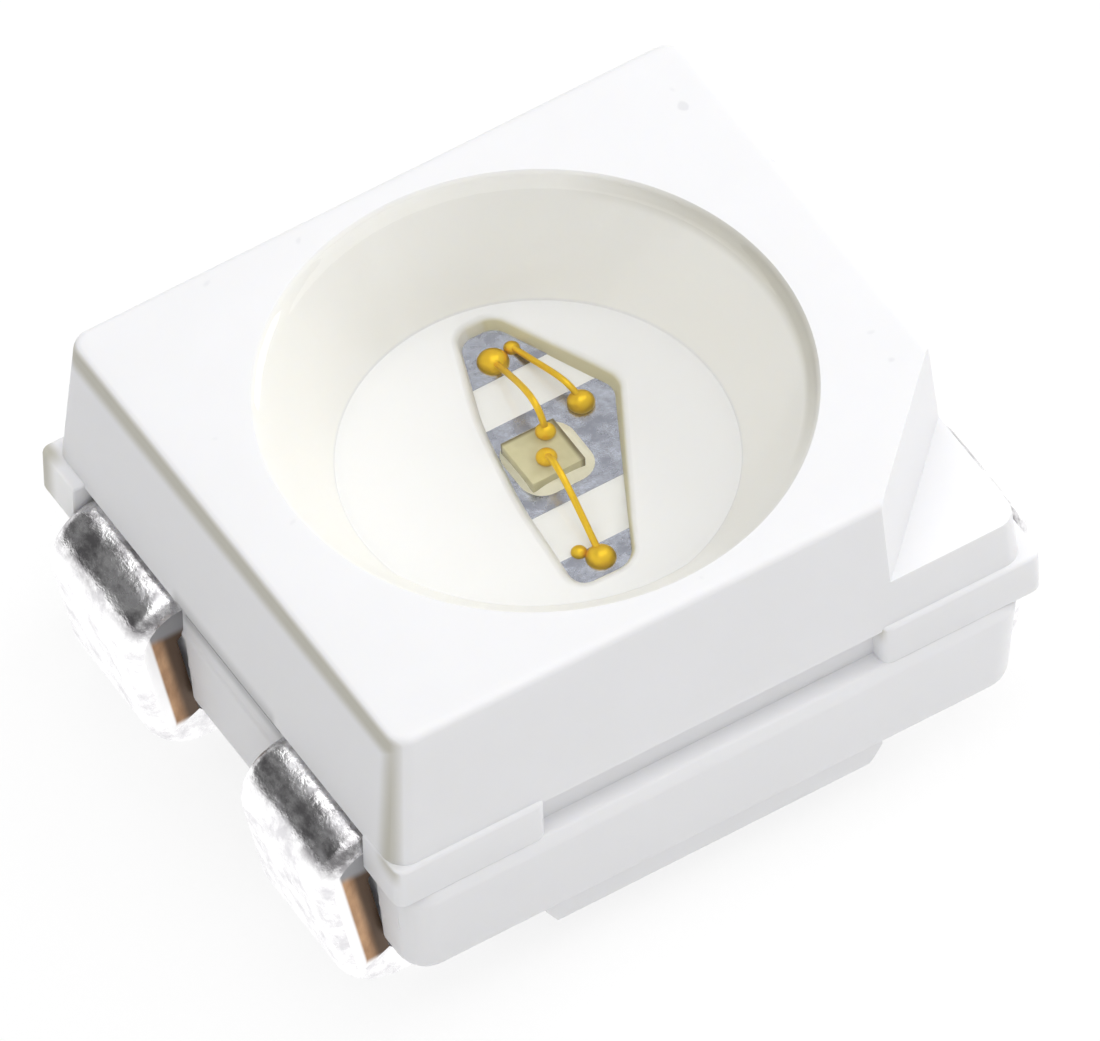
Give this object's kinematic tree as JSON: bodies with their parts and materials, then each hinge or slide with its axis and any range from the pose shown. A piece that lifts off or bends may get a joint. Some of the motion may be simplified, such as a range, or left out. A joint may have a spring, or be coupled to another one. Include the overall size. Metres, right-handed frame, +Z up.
{
  "type": "smd led",
  "caption": "Top-view surface-mount LED: white moulded housing with a clear-filled reflector cup, gold-wired chip, cut polarity corner and bent solder leads.",
  "frame": {"origin": "on the solder plane under the middle of the package, at the bottom centre of its box", "axes": "+X along the length over the leads, +Y across, +Z up out of the cup; the cut polarity corner is at +X, -Y"},
  "size_m": [0.0034, 0.0028, 0.0018],
  "materials": {
    "white_moulding": "satin white thermoplastic",
    "clear_resin": "clear cured resin, smooth",
    "plated_lead": "silver-plated copper alloy, slightly mottled, bare copper on the cut edges",
    "chip": "clear crystal",
    "chip_glue": "cream translucent glue",
    "gold_wire": "bright gold"
  },
  "bodies": {
    "root": {"housing": "white_moulding", "encapsulant": "clear_resin", "lead_back_left": "plated_lead", "lead_front_right": "plated_lead", "lead_chip_pad": "plated_lead", "led_chip": "chip", "chip_glue": "chip_glue", "bond_wire_back": "gold_wire", "bond_wire_front": "gold_wire", "bond_wire_link": "gold_wire"}
  },
  "joints": []
}
